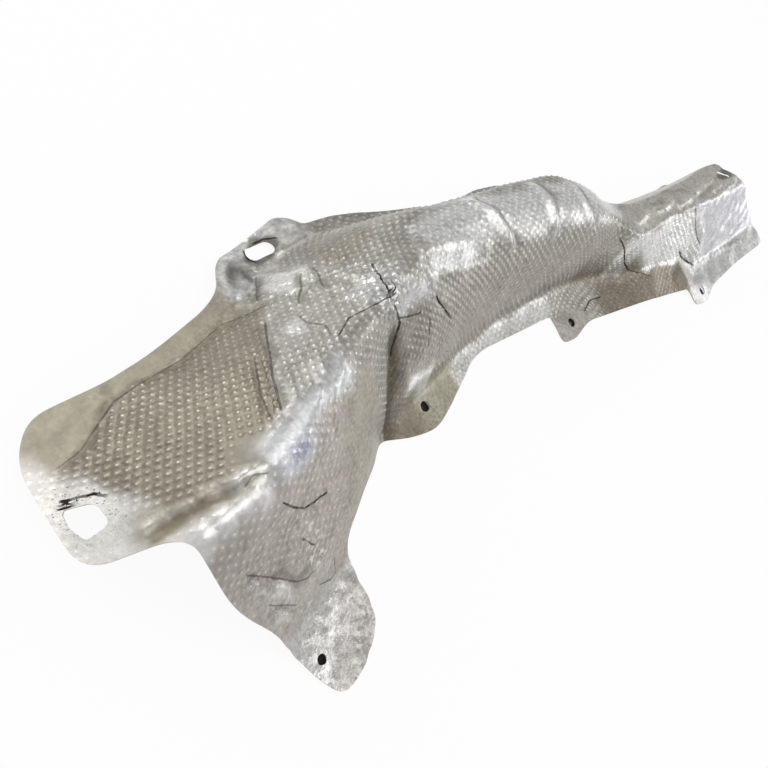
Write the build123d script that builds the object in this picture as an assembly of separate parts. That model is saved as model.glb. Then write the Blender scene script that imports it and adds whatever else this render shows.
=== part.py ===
"""Exhaust heat shield: one sheet of aluminium pressed into a bent tunnel with a flared mouth.

The sheet is described along a spine that runs from the mouth to the far end.
s is the distance along the spine, t the distance to its far side, z the height.
"""
import math
import os

from build123d import *

# sheet
sheet_thickness = 1.0

# spine: a straight mouth leg, one bend, then the straight tunnel along +X
mouth_leg = 205.0
bend_radius = 230.0
bend_angle = 28.0

# bolt holes and slots, each at its (s, t)
near_bolt_1 = (190.0, -83.0)
near_bolt_2 = (438.0, -83.0)
near_bolt_3 = (662.0, -99.0)
far_bolt_reach = 144.0
tongue_hole = (-8.0, -120.0)
far_slot = (192.0, 91.0)
end_slit = (712.0, 10.0)
bolt_hole_r = 4.5
tongue_hole_r = 3.6
far_slot_length = 14.0
far_slot_r = 6.0
end_slit_length = 18.0
end_slit_width = 4.0

# pressed details: beads across the crest, the boss by the far tab, and the sheet's dents and folds
bead_height = 2.6
bead_width = 5.5
boss_height = 5.0
dent_depth = 3.0
valley_depth = 4.0
panel_fold_depth = 3.0

# how finely the surface is traced
first_station = -64.0
last_station = 820.0
station_step = 18.0
bead_zone = (292.0, 442.0)
bead_zone_step = 9.0
wall_steps = 5
roof_steps = 5

turn = math.radians(bend_angle)
spine_bend_end = mouth_leg + bend_radius * turn


def rail(*pairs):
    """A smooth curve through (distance, value) pairs that never overshoots them."""
    xs = [p[0] for p in pairs]
    ys = [p[1] for p in pairs]
    rise = [(ys[i + 1] - ys[i]) / (xs[i + 1] - xs[i]) for i in range(len(xs) - 1)]
    slope = [rise[0]]
    for before, after in zip(rise, rise[1:]):
        same_way = before * after > 0
        slope.append(2 * before * after / (before + after) if same_way else 0.0)
    slope.append(rise[-1])

    def value(x):
        x = min(max(x, xs[0]), xs[-1])
        i = max(k for k in range(len(rise)) if xs[k] <= x)
        h = xs[i + 1] - xs[i]
        w = (x - xs[i]) / h
        ends = ys[i] * (1 + 2 * w) * (1 - w) ** 2 + ys[i + 1] * w * w * (3 - 2 * w)
        lean = slope[i] * w * (1 - w) ** 2 + slope[i + 1] * w * w * (w - 1)
        return ends + h * lean

    return value


# the lines along the sheet: side distance and height at points along the spine
near_edge_t = rail((-64, -170), (20, -166), (60, -128), (100, -104), (180, -112), (320, -98), (430, -108),
                   (500, -100), (655, -122), (790, -96))
near_edge_z = rail((-64, 0), (20, 0), (70, 5), (140, 2), (190, 0), (320, 2), (430, 0), (500, 2), (655, 0),
                   (700, 5), (790, 20))
near_foot_t = rail((-64, -104), (30, -100), (105, -80), (145, -66), (230, -74), (308, -66), (362, -54),
                   (460, -44), (505, -47), (560, -56), (640, -58), (668, -66), (790, -46))
near_foot_z = rail((-64, 4), (30, 4), (90, 10), (145, 6), (230, 4), (505, 4), (560, 16), (630, 14), (662, 4),
                   (700, 8), (790, 28))
near_shoulder_t = rail((-64, -46), (100, -40), (150, -30), (230, -28), (300, -22), (430, -19), (480, -20),
                       (520, -36), (575, -26), (683, -16), (790, -2))
near_shoulder_z = rail((-64, 48), (60, 70), (160, 62), (230, 70), (300, 78), (430, 77), (520, 58), (790, 64))
crest_t = rail((-64, -6), (60, -6), (120, 2), (370, 6), (440, 4), (530, -16), (683, -2), (790, 12))
crest_z = rail((-64, 72), (30, 106), (70, 108), (180, 97), (270, 86), (380, 86), (440, 79), (476, 68),
               (515, 59), (790, 66))
far_shoulder_t = rail((-64, 34), (150, 40), (210, 42), (300, 28), (366, 34), (415, 36), (450, 30), (490, 10),
                      (530, 2), (640, 14), (700, 26), (790, 28))
far_shoulder_z = rail((-64, 46), (60, 72), (150, 60), (210, 64), (260, 74), (400, 74), (440, 70), (520, 55),
                      (790, 60))
far_foot_t = rail((-64, 74), (40, 76), (110, 70), (200, 76), (300, 50), (420, 50), (520, 18), (640, 27),
                  (790, 42))
far_foot_z = rail((-64, 22), (40, 31), (110, 28), (200, 8), (790, 9))
far_edge_t = rail((-64, 116), (20, 112), (100, 100), (160, 114), (220, 112), (330, 68), (420, 76), (500, 46),
                  (640, 42), (790, 58))
far_edge_z = rail((-64, 18), (40, 29), (110, 25), (190, 0), (420, 0), (790, 4))

# how far each leg of the section bows out
near_wall_bow = rail((-64, 4), (100, 4), (230, 7), (440, 7), (520, 1), (790, 0))
near_roof_bow = rail((-64, 2), (120, 3), (240, 2), (460, 2), (520, 0), (790, 0))
far_roof_bow = rail((-64, 0), (100, 1), (240, 0), (460, 1), (520, 0), (790, 0))
far_wall_bow = rail((-64, 0), (100, 1), (240, 2), (440, 4), (520, 1), (790, 0))


def ramp(x, start, end):
    """0 before start, 1 after end, smooth between."""
    w = min(max((x - start) / (end - start), 0.0), 1.0)
    return w * w * (3 - 2 * w)


def bump(x, centre, width):
    return math.exp(-(((x - centre) / width) ** 2))


def groove(s, t, start, end, width):
    """1 on the line from start to end, fading to 0 within about two widths of it."""
    ds, dt = end[0] - start[0], end[1] - start[1]
    length = math.hypot(ds, dt)
    along = ((s - start[0]) * ds + (t - start[1]) * dt) / length
    across = ((s - start[0]) * dt - (t - start[1]) * ds) / length
    return bump(across, 0, width) * ramp(along, -width, width) * ramp(length - along, -width, width)


def pressed_detail(s, t):
    """Height that the beads, the boss and the folds add to the plain section."""
    z = bead_height * groove(s, t, (304, 24), (323, -24), bead_width)
    z += bead_height * groove(s, t, (381, 26), (378, -20), bead_width)
    z += bead_height * groove(s, t, (428, 22), (428, -20), bead_width)
    z += boss_height * bump(s, 166, 20) * bump(t, 62, 15)
    z -= dent_depth * bump(s, 284, 24) * bump(t, -20, 12)
    z -= valley_depth * groove(s, t, (160, -14), (146, -60), 9)
    z -= panel_fold_depth * groove(s, t, (-26, 24), (26, -6), 6)
    return z


def section(s):
    """The sheet's upper side at s, as (t, z) from the near edge to the far edge."""
    near_foot = Vector(near_foot_t(s), near_foot_z(s))
    near_shoulder = Vector(near_shoulder_t(s), near_shoulder_z(s))
    crest = Vector(crest_t(s), crest_z(s))
    far_shoulder = Vector(far_shoulder_t(s), far_shoulder_z(s))
    far_foot = Vector(far_foot_t(s), far_foot_z(s))
    line = [Vector(near_edge_t(s), near_edge_z(s)), near_foot]
    line += leg(near_foot, near_shoulder, near_wall_bow(s), wall_steps)
    line += leg(near_shoulder, crest, near_roof_bow(s), roof_steps)
    line += leg(crest, far_shoulder, far_roof_bow(s), roof_steps)
    line += leg(far_shoulder, far_foot, far_wall_bow(s), wall_steps)
    line.append(Vector(far_edge_t(s), far_edge_z(s)))
    return [(p.X, p.Y + pressed_detail(s, p.X)) for p in line]


def leg(start, end, bow, steps):
    """Points after start on the way to end, bowed out by bow at the middle."""
    way = end - start
    out = Vector(-way.Y, way.X).normalized()
    shares = [k / steps for k in range(1, steps + 1)]
    return [start + way * w + out * (4 * bow * w * (1 - w)) for w in shares]


def rounded_corner(corners, i):
    """Where the rounding of corner i starts and ends on its two legs."""
    here = Vector(*corners[i][:2])
    before = Vector(*corners[i - 1][:2]) - here
    after = Vector(*corners[(i + 1) % len(corners)][:2]) - here
    back = min(corners[i][2], 0.48 * before.length, 0.48 * after.length)
    return here + before.normalized() * back, here + after.normalized() * back


def plan(s, t):
    """X and Y of spine distance s and side distance t."""
    if s >= spine_bend_end:
        return s - spine_bend_end, t
    if s >= mouth_leg:
        angle = (spine_bend_end - s) / bend_radius
        return -(bend_radius + t) * math.sin(angle), (bend_radius + t) * math.cos(angle) - bend_radius
    back = mouth_leg - s
    x = -bend_radius * math.sin(turn) - back * math.cos(turn) - t * math.sin(turn)
    y = -bend_radius * (1 - math.cos(turn)) - back * math.sin(turn) + t * math.cos(turn)
    return x, y


def underside(line):
    """The other side of a section, one sheet thickness below along its normal."""
    under = []
    for j, (t, z) in enumerate(line):
        t_before, z_before = line[max(j - 1, 0)]
        t_after, z_after = line[min(j + 1, len(line) - 1)]
        step = Vector(t_after - t_before, z_after - z_before).normalized() * sheet_thickness
        under.append((t + step.Y, z - step.X))
    return under


def section_wire(s):
    """The closed section of the sheet at s, creased at its feet, shoulders and crest."""
    upper = section(s)
    top = [Vector(*plan(s, t), z) for t, z in upper]
    under = [Vector(*plan(s, t), z) for t, z in reversed(underside(upper))]
    rims = [Edge.make_line(top[-1], under[0]), Edge.make_line(under[-1], top[0])]
    return Wire(creased_edges(top) + rims[:1] + creased_edges(under) + rims[1:])


def creased_edges(points):
    """Flange, wall, two roof legs, wall and flange, with the same spline knots at every section."""
    ends = [0]
    for steps in (1, wall_steps, roof_steps, roof_steps, wall_steps, 1):
        ends.append(ends[-1] + steps)
    edges = []
    for first, last in zip(ends, ends[1:]):
        knots = [i / (last - first) for i in range(last - first + 1)]
        edges.append(Edge.make_spline(points[first:last + 1], parameters=knots))
    return edges


def outline_face(corners):
    """A flat face from (s, t, rounding) corners, each rounded along its legs."""
    flat = [(*plan(s, t), back) for s, t, back in corners]
    edges = []
    for i in range(len(flat)):
        enter, leave = rounded_corner(flat, i)
        following = rounded_corner(flat, (i + 1) % len(flat))[0]
        edges.append(Edge.make_bezier(enter, Vector(*flat[i][:2]), leave))
        edges.append(Edge.make_line(leave, following))
    return Face(Wire(edges))


# the trimmed outline, from the lobe round the mouth, along the near side, and back along the far side
lobe = [(8, 99, 8), (-14, 106, 14), (-35, 92, 16), (-49, 56, 10), (-60, 27, 16), (-23, 3, 12)]
mouth_edge = [(-30, -46, 22), (-18, -84, 14), (-18, -128, 12)]
tongue = [(-16, -146, 12), (8, -149, 16), (37, -139, 14), (49, -106, 14), (56, -84, 12)]
valley_corner = [(94, -72, 16), (137, -69, 8)]
near_tab_1 = [(164, -91, 10), (186, -103, 14), (240, -98, 14), (300, -80, 20)]
near_tab_2 = [(413, -71, 3), (417, -99, 6), (434, -99, 7), (462, -87, 10)]
skirt = [(540, -88, 20), (634, -92, 5)]
near_tab_3 = [(641, -112, 7), (664, -112, 8), (686, -97, 8)]
end_edge = [(732, -84, 14), (796, -71, 16), (787, -46, 12), (750, -15, 12), (730, 5, 8)]
end_ear = [(714, 26, 10), (694, 36, 10)]
far_side = [(640, 24, 14), (520, 22, 20), (478, 50, 14), (458, 58, 8)]
far_pad = [(450, 72, 6), (400, 71, 8), (360, 60, 12)]
far_tab = [(250, 80, 12), (229, 86, 6), (222, 104, 9), (154, 106, 12), (131, 88, 10)]
far_strip = [(112, 84, 10), (60, 86, 16), (28, 92, 10)]
outline = (lobe + mouth_edge + tongue + valley_corner + near_tab_1 + near_tab_2 + skirt + near_tab_3
           + end_edge + end_ear + far_side + far_pad + far_tab + far_strip)
torn_hole = [(-41, 57, 3), (-29, 47, 4), (-34, 33, 4), (-47, 36, 3), (-46, 48, 2)]

# the far bolt sits square across the line of the near bolts, opposite the second one
bolt_line = Vector(*plan(*near_bolt_3)) - Vector(*plan(*near_bolt_1))
bolt_line_angle = math.degrees(math.atan2(bolt_line.Y, bolt_line.X))
across = bolt_line.normalized() * far_bolt_reach
far_bolt = (near_bolt_2[0] - across.Y, near_bolt_2[1] + across.X)


def placed(at, profile):
    return Pos(*plan(*at)) * profile


openings = [placed(near_bolt_1, Circle(bolt_hole_r)),
            placed(near_bolt_2, Circle(bolt_hole_r)),
            placed(near_bolt_3, Circle(bolt_hole_r)),
            placed(far_bolt, Circle(bolt_hole_r)),
            placed(tongue_hole, Circle(tongue_hole_r)),
            placed(far_slot, Rot(0, 0, 12) * SlotCenterToCenter(far_slot_length, 2 * far_slot_r)),
            placed(end_slit, Rot(0, 0, -33) * SlotOverall(end_slit_length, end_slit_width)),
            outline_face(torn_hole)]
trim = Sketch() + outline_face(outline) - openings


def stations():
    """Distances along the spine at which the section is drawn, closer over the beads."""
    s = first_station
    while s < last_station:
        yield s
        in_beads = ramp(s, bead_zone[0] - 60, bead_zone[0]) * ramp(s, bead_zone[1] + 60, bead_zone[1])
        s += station_step + (bead_zone_step - station_step) * in_beads
    yield last_station


sheet = Solid.make_loft([section_wire(s) for s in stations()])
shield = sheet & extrude(trim, 2 * sheet.bounding_box().max.Z, both=True)

# +X runs from the first near bolt to the third; the origin is the middle of the footprint, on the floor
shield = Rot(0, 0, -bolt_line_angle) * shield
skin = shield.tessellate(0.1)[0]
middle_x = (min(p.X for p in skin) + max(p.X for p in skin)) / 2
middle_y = (min(p.Y for p in skin) + max(p.Y for p in skin)) / 2
floor_z = min(p.Z for p in skin)
shield = Pos(-middle_x, -middle_y, -floor_z) * shield
shield.label = "heat_shield"

os.makedirs("parts", exist_ok=True)
export_step(shield, "parts/heat_shield.step")
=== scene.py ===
"""Looks of the exhaust heat shield: the pressed sheet with its embossed dimples, its metal, stage and light.

The sheet is worked out in millimetres along the same spine as the solid:
s is the distance along the spine, t the distance to its far side, z the height,
and v the distance over the sheet's surface from the crest.
"""
import math

import bpy
import numpy as np
from mathutils import Matrix, Vector


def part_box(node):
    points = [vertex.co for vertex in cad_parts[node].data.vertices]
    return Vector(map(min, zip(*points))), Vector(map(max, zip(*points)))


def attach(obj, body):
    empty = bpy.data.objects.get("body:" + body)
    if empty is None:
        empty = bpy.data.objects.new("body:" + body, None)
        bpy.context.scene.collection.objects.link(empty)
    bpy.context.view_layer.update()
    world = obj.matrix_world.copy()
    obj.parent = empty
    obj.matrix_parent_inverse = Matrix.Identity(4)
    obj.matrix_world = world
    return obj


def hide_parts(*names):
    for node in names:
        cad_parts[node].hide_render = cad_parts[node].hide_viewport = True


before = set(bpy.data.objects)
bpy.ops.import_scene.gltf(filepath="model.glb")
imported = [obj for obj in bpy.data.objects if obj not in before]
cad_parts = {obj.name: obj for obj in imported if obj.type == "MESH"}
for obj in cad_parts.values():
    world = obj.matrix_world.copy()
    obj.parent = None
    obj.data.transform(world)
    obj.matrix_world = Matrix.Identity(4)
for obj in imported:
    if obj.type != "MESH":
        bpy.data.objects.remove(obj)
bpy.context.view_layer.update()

scene = bpy.context.scene
rng = np.random.default_rng(7)

# the solid's driving sizes, in millimetres
sheet_thickness = 1.0
mouth_leg = 205.0
bend_radius = 230.0
turn = math.radians(28.0)
spine_bend_end = mouth_leg + bend_radius * turn
first_station, last_station = -64.0, 820.0
near_bolt_1, near_bolt_2, near_bolt_3 = (190.0, -83.0), (438.0, -83.0), (662.0, -99.0)
far_bolt_reach = 144.0
tongue_hole, far_slot, end_slit = (-8.0, -120.0), (192.0, 91.0), (712.0, 10.0)
bolt_hole_r, tongue_hole_r = 4.5, 3.6
bead_height, bead_width = 2.6, 5.5

# the embossing: a square lattice of round dimples, set diagonally to the spine
dimple_pitch = 5.4
dimple_height = 0.8
dimple_ring = 0.21
ring_height = 0.12


def rail(*pairs):
    """A smooth curve through (distance, value) pairs that never overshoots them."""
    xs, ys = np.array(pairs, float).T
    rise = np.diff(ys) / np.diff(xs)
    slope = np.zeros(len(xs))
    slope[0], slope[-1] = rise[0], rise[-1]
    for i, (before, after) in enumerate(zip(rise, rise[1:]), start=1):
        if before * after > 0:
            slope[i] = 2 * before * after / (before + after)

    def value(x):
        x = np.clip(x, xs[0], xs[-1])
        i = np.clip(np.searchsorted(xs, x, side="right") - 1, 0, len(rise) - 1)
        h = xs[i + 1] - xs[i]
        w = (x - xs[i]) / h
        ends = ys[i] * (1 + 2 * w) * (1 - w) ** 2 + ys[i + 1] * w * w * (3 - 2 * w)
        return ends + h * (slope[i] * w * (1 - w) ** 2 + slope[i + 1] * w * w * (w - 1))

    return value


# the lines along the sheet: side distance and height at points along the spine
near_edge_t = rail((-64, -170), (20, -166), (60, -128), (100, -104), (180, -112), (320, -98), (430, -108),
                   (500, -100), (655, -122), (790, -96))
near_edge_z = rail((-64, 0), (20, 0), (70, 5), (140, 2), (190, 0), (320, 2), (430, 0), (500, 2), (655, 0),
                   (700, 5), (790, 20))
near_foot_t = rail((-64, -104), (30, -100), (105, -80), (145, -66), (230, -74), (308, -66), (362, -54),
                   (460, -44), (505, -47), (560, -56), (640, -58), (668, -66), (790, -46))
near_foot_z = rail((-64, 4), (30, 4), (90, 10), (145, 6), (230, 4), (505, 4), (560, 16), (630, 14), (662, 4),
                   (700, 8), (790, 28))
near_shoulder_t = rail((-64, -46), (100, -40), (150, -30), (230, -28), (300, -22), (430, -19), (480, -20),
                       (520, -36), (575, -26), (683, -16), (790, -2))
near_shoulder_z = rail((-64, 48), (60, 70), (160, 62), (230, 70), (300, 78), (430, 77), (520, 58), (790, 64))
crest_t = rail((-64, -6), (60, -6), (120, 2), (370, 6), (440, 4), (530, -16), (683, -2), (790, 12))
crest_z = rail((-64, 72), (30, 106), (70, 108), (180, 97), (270, 86), (380, 86), (440, 79), (476, 68), (515, 59),
               (790, 66))
far_shoulder_t = rail((-64, 34), (150, 40), (210, 42), (300, 28), (366, 34), (415, 36), (450, 30), (490, 10),
                      (530, 2), (640, 14), (700, 26), (790, 28))
far_shoulder_z = rail((-64, 46), (60, 72), (150, 60), (210, 64), (260, 74), (400, 74), (440, 70), (520, 55),
                      (790, 60))
far_foot_t = rail((-64, 74), (40, 76), (110, 70), (200, 76), (300, 50), (420, 50), (520, 18), (640, 27),
                  (790, 42))
far_foot_z = rail((-64, 22), (40, 31), (110, 28), (200, 8), (790, 9))
far_edge_t = rail((-64, 116), (20, 112), (100, 100), (160, 114), (220, 112), (330, 68), (420, 76), (500, 46),
                  (640, 42), (790, 58))
far_edge_z = rail((-64, 18), (40, 29), (110, 25), (190, 0), (420, 0), (790, 4))

# how far each leg of the section bows out
near_wall_bow = rail((-64, 4), (100, 4), (230, 7), (440, 7), (520, 1), (790, 0))
near_roof_bow = rail((-64, 2), (120, 3), (240, 2), (460, 2), (520, 0), (790, 0))
far_roof_bow = rail((-64, 0), (100, 1), (240, 0), (460, 1), (520, 0), (790, 0))
far_wall_bow = rail((-64, 0), (100, 1), (240, 2), (440, 4), (520, 1), (790, 0))

# how far the bends are rounded: much at the mouth, little at the end box
bend_softness = rail((-64, 0.25), (90, 0.25), (150, 0.12), (480, 0.12), (520, 0.03), (790, 0.03))
rounding_passes = 40


def ramp(x, start, end):
    """0 before start, 1 after end, smooth between."""
    w = np.clip((x - start) / (end - start), 0.0, 1.0)
    return w * w * (3 - 2 * w)


def bump(x, centre, width):
    return np.exp(-(((x - centre) / width) ** 2))


def groove(s, t, start, end, width):
    """1 on the line from start to end, fading to 0 within about two widths of it."""
    ds, dt = end[0] - start[0], end[1] - start[1]
    length = math.hypot(ds, dt)
    along = ((s - start[0]) * ds + (t - start[1]) * dt) / length
    across = ((s - start[0]) * dt - (t - start[1]) * ds) / length
    return bump(across, 0, width) * ramp(along, -width, width) * ramp(length - along, -width, width)


def pressed_detail(s, t):
    """Height that the beads, the boss and the folds add to the plain section."""
    z = sum(bead_height * groove(s, t, *bead, bead_width) for bead in (bead_1, bead_2, bead_3))
    z += 5.0 * bump(s, 166, 20) * bump(t, 62, 15)
    z -= 3.0 * bump(s, 284, 24) * bump(t, -20, 12)
    z -= 4.0 * groove(s, t, (160, -14), (146, -60), 9)
    z -= 3.0 * groove(s, t, (-28, 15), (26, -13), 6)
    return z


def crease(s, t, spots, width):
    """1 on the line through the spots, fading to 0 beside it."""
    return np.maximum.reduce([groove(s, t, start, end, width) for start, end in zip(spots, spots[1:])])


def patch(s, t, centre, half_s, half_t, soft=0.3):
    """1 inside an oval patch and 0 outside it, with a soft edge."""
    r = np.hypot((s - centre[0]) / half_s, (t - centre[1]) / half_t)
    return 1 - ramp(r, 1 - soft, 1 + soft)


def between(x, low, high, soft):
    return ramp(x, low - soft, low + soft) * (1 - ramp(x, high - soft, high + soft))


# lines on the sheet
far_fold = [(-23, 75), (-9, 73), (8, 77), (24, 80), (42, 77), (70, 70), (109, 69), (136, 56)]
panel_crease = [(119, 48), (91, 31), (77, 22), (59, 7)]
panel_short_crease = [(86, 37), (62, 20), (52, 9)]
panel_lip = [(-32, 20), (-17, 13), (-6, 8), (5, 4), (12, 0), (20, -5)]
fold_valley = [(-32, 13), (-12, 7), (-1, 2), (11, -7), (19, -12)]
mouth_roll = [(-24, -4), (-13, -8), (1, -10), (10, -13), (20, -17)]
box_ridge = [(632, -18), (650, -32), (675, -49), (670, -60)]
box_edge = [(524, -35), (572, -24), (618, -20), (640, -18), (680, -14), (726, -2)]
bead_1, bead_2, bead_3 = [(304, 24), (323, -24)], [(381, 26), (378, -20)], [(428, 22), (428, -20)]
facet_edge = [(220, -4), (224, 5), (246, -1), (274, -7), (299, -17), (291, -25), (257, -23), (221, -13), (220, -4)]
curl, curl_under = [(10, -1), (15, 1), (21, -3), (27, -9)], [(13, -10), (18, -9), (24, -13)]
joggle = [(175, -59), (188, -62), (206, -68)]
flap_crease = [(-13, -39), (-4, -51), (9, -70), (15, -74), (21, -75)]
flap_low_crease = [(-13, -63), (0, -79)]
flap_ridge = [(-17, -44), (-7, -57), (2, -70)]
flap_low_ridge = [(-15, -70), (-7, -84)]
boss_left_dent = [(165, 77), (152, 70), (140, 63)]
boss_right_dent = [(171, 54), (158, 47), (144, 41)]
boss_outer_dent = [(180, 50), (172, 43), (164, 37)]
bead_1_side = [(313, 24), (332, -24)]
bead_2_side = [(390, 26), (387, -20)]
bead_3_side = [(437, 22), (437, -20)]
box_top_ridge_1 = [(520, -22), (545, -14), (575, -12), (600, -6)]
box_top_ridge_2 = [(600, -14), (630, -8), (655, 2), (690, 8)]
box_top_groove_1 = [(560, -6), (590, 2), (630, 6)]
box_top_groove_2 = [(640, -10), (665, -4), (700, 8)]
smooth_shoulder = [(30, -6), (55, -5), (80, -4), (106, -6)]

# open cracks, which also sink into the sheet: the spots they run through, half their width and how dark they are
open_cracks = [([(121, 9), (138, 11), (149, 7), (165, 2), (176, -1)], 0.45, 0.85),
               ([(194, 22), (185, 14), (176, 7), (175, 1)], 0.6, 1.0),
               ([(184, 5), (181, 1), (175, 0)], 0.45, 1.0),
               ([(172, -6), (173, -14), (174, -17), (168, -21), (163, -24), (161, -28)], 1.1, 1.0),
               ([(175, -15), (189, -21), (200, -25)], 0.5, 0.8),
               ([(224, -27), (227, -34), (236, -45)], 0.9, 1.0),
               ([(209, -35), (200, -47)], 0.6, 0.6),
               ([(494, -30), (514, -42), (534, -50), (552, -59), (569, -66), (571, -73)], 0.3, 1.0),
               ([(626, -52), (652, -60), (666, -67)], 1.0, 1.0),
               ([(23, -28), (28, -35), (34, -41), (42, -44), (52, -47)], 0.55, 0.95),
               ([(24, -53), (29, -63)], 0.6, 0.7),
               ([(39, -85), (37, -93), (31, -93), (22, -87)], 0.5, 0.6),
               ([(462, -76), (476, -68), (492, -68)], 0.6, 0.8)]

# slits and sharp dark lines that are only drawn, in the same form; along the creases, dents and folds the dark lines
# are painted shade
drawn_lines = [([(-37, 60), (-32, 56), (-28, 52)], 0.8, 1.0),
               ([(-26, 51), (-24, 46)], 1.0, 1.0),
               ([(-41, 58), (-36, 54)], 0.6, 1.0),
               ([(180, 86), (178, 92), (181, 98)], 1.0, 1.0),
               ([(194, 98), (203, 96), (210, 90)], 0.7, 0.9),
               (flap_crease, 0.5, 0.5),
               (flap_low_crease, 0.5, 0.45),
               (boss_left_dent, 0.5, 0.5),
               (boss_right_dent, 0.55, 0.6),
               (boss_outer_dent, 0.5, 0.55),
               (panel_crease, 0.5, 0.65),
               (panel_short_crease, 0.45, 0.5),
               (far_fold, 0.5, 0.5),
               ([(131, 35), (126, 28), (126, 19), (120, 13)], 0.45, 0.5),
               ([(13, -5), (18, -4), (24, -9)], 0.4, 0.45),
               ([(627, -21), (644, -34), (666, -50)], 0.5, 0.8)]

# creases, lips and rolled edges: the spots they run through, width and height
relief = [(far_fold, 3.6, -1.5),
          ([(-12, 83), (6, 86), (26, 88)], 5.0, 1.8),
          (panel_crease, 3.2, -1.7),
          ([(123, 44), (95, 27), (81, 18), (63, 3)], 3.4, 0.9),
          (panel_short_crease, 3.0, -1.1),
          (panel_lip, 3.2, 2.2),
          (mouth_roll, 7.5, 3.0),
          (curl, 2.6, 1.8),
          (curl_under, 2.6, 1.5),
          ([(134, 35), (129, 28), (129, 19), (123, 13), (125, 9)], 2.8, 2.0),
          ([(129, 33), (123, 27), (123, 18), (117, 13)], 2.8, -1.2),
          ([(117, 31), (125, 33)], 4.0, 2.0),
          (bead_1, 4.0, 1.4),
          (bead_1_side, 3.8, -1.9),
          (bead_2, 4.0, 1.2),
          (bead_2_side, 3.8, -1.9),
          (bead_3, 4.0, 1.2),
          (bead_3_side, 3.8, -1.9),
          ([(97, 3), (84, -1), (72, -6)], 2.0, 1.0),
          ([(104, -5), (92, -10), (80, -17), (75, -32)], 2.2, 0.9),
          ([(241, 26), (221, 8), (217, -7), (219, -21)], 2.2, -1.2),
          ([(246, 24), (226, 6), (222, -7), (224, -20)], 2.0, 0.8),
          (facet_edge, 3.0, 1.0),
          (flap_crease, 3.2, -2.0),
          (flap_ridge, 3.2, 1.4),
          (flap_low_crease, 3.2, -1.8),
          (flap_low_ridge, 3.2, 1.2),
          ([(212, 47), (196, 35)], 2.4, -1.0),
          ([(222, 80), (236, 61), (247, 37)], 3.0, 0.8),
          (box_edge, 2.4, 0.8),
          (box_ridge, 3.4, 2.0),
          (box_top_ridge_1, 3.4, 1.5),
          (box_top_groove_1, 3.4, -1.5),
          (box_top_ridge_2, 3.4, 1.5),
          (box_top_groove_2, 3.2, -1.3),
          ([(622, -26), (636, -40), (656, -56)], 2.4, -1.2),
          ([(650, -20), (664, -34), (684, -48)], 2.2, -0.7),
          ([(690, -14), (704, -30), (718, -44)], 2.2, -0.6),
          ([(681, -67), (720, -62), (758, -60)], 3.0, 1.2),
          (boss_left_dent, 3.4, -1.6),
          (boss_right_dent, 3.4, -1.8),
          (boss_outer_dent, 3.2, -1.4),
          ([(133, 86), (156, 100), (190, 102), (221, 99), (228, 87)], 5.0, 2.2),
          ([(150, 88), (168, 82), (200, 78)], 6.0, -1.4),
          (joggle, 4.0, 1.8),
          ([(206, -68), (222, -68), (240, -68)], 3.0, 1.4)]


def section_rows(s):
    """Upper side of the sections at the distances s, as rows of t and z, with the crest's column."""
    flange_steps, near_wall_steps, roof_steps, far_wall_steps = 16, 40, 24, 36
    legs = [((near_edge_t, near_edge_z), (near_foot_t, near_foot_z), None, flange_steps),
            ((near_foot_t, near_foot_z), (near_shoulder_t, near_shoulder_z), near_wall_bow, near_wall_steps),
            ((near_shoulder_t, near_shoulder_z), (crest_t, crest_z), near_roof_bow, roof_steps),
            ((crest_t, crest_z), (far_shoulder_t, far_shoulder_z), far_roof_bow, roof_steps),
            ((far_shoulder_t, far_shoulder_z), (far_foot_t, far_foot_z), far_wall_bow, far_wall_steps),
            ((far_foot_t, far_foot_z), (far_edge_t, far_edge_z), None, flange_steps)]
    s = s[:, None]
    ts, zs = [near_edge_t(s)], [near_edge_z(s)]
    for (t0, z0), (t1, z1), bow, steps in legs:
        w = np.arange(1, steps + 1)[None, :] / steps
        way_t, way_z = t1(s) - t0(s), z1(s) - z0(s)
        lift = 4 * bow(s) * w * (1 - w) / np.hypot(way_t, way_z) if bow else 0 * w
        ts.append(t0(s) + way_t * w - way_z * lift)
        zs.append(z0(s) + way_z * w + way_t * lift)
    t, z = np.hstack(ts), np.hstack(zs)
    for _ in range(rounding_passes):
        t[:, 1:-1] += bend_softness(s) * (t[:, :-2] + t[:, 2:] - 2 * t[:, 1:-1])
        z[:, 1:-1] += bend_softness(s) * (z[:, :-2] + z[:, 2:] - 2 * z[:, 1:-1])
    z = z + pressed_detail(s, t)
    return t, z, flange_steps + near_wall_steps + roof_steps


row_step = 2.0
row_s = np.arange(first_station, last_station + row_step, row_step)
row_t, row_z, crest_column = section_rows(row_s)
row_v = np.concatenate([np.zeros((len(row_s), 1)),
                        np.cumsum(np.hypot(np.diff(row_t), np.diff(row_z)), axis=1)], axis=1)
row_v -= row_v[:, crest_column:crest_column + 1]


def sheet_point(s, v):
    """t and z of the smooth sheet at spine distance s and surface distance v."""
    place = np.clip((s - first_station) / row_step, 0, len(row_s) - 1.001)
    row = place.astype(int)
    share = place - row
    t, z = np.zeros(len(s)), np.zeros(len(s))
    for r in np.unique(row):
        here = row == r
        for k, weight in ((r, 1 - share[here]), (r + 1, share[here])):
            t[here] += weight * np.interp(v[here], row_v[k], row_t[k])
            z[here] += weight * np.interp(v[here], row_v[k], row_z[k])
    return t, z


def plan(s, t):
    """X and Y of spine distance s and side distance t."""
    s, t = np.asarray(s, float), np.asarray(t, float)
    angle = np.clip((spine_bend_end - s) / bend_radius, 0.0, turn)
    back = np.maximum(mouth_leg - s, 0.0)
    ahead = np.maximum(s - spine_bend_end, 0.0)
    x = ahead - (bend_radius + t) * np.sin(angle) - back * math.cos(turn)
    y = (bend_radius + t) * np.cos(angle) - bend_radius - back * math.sin(turn)
    return x, y


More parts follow.
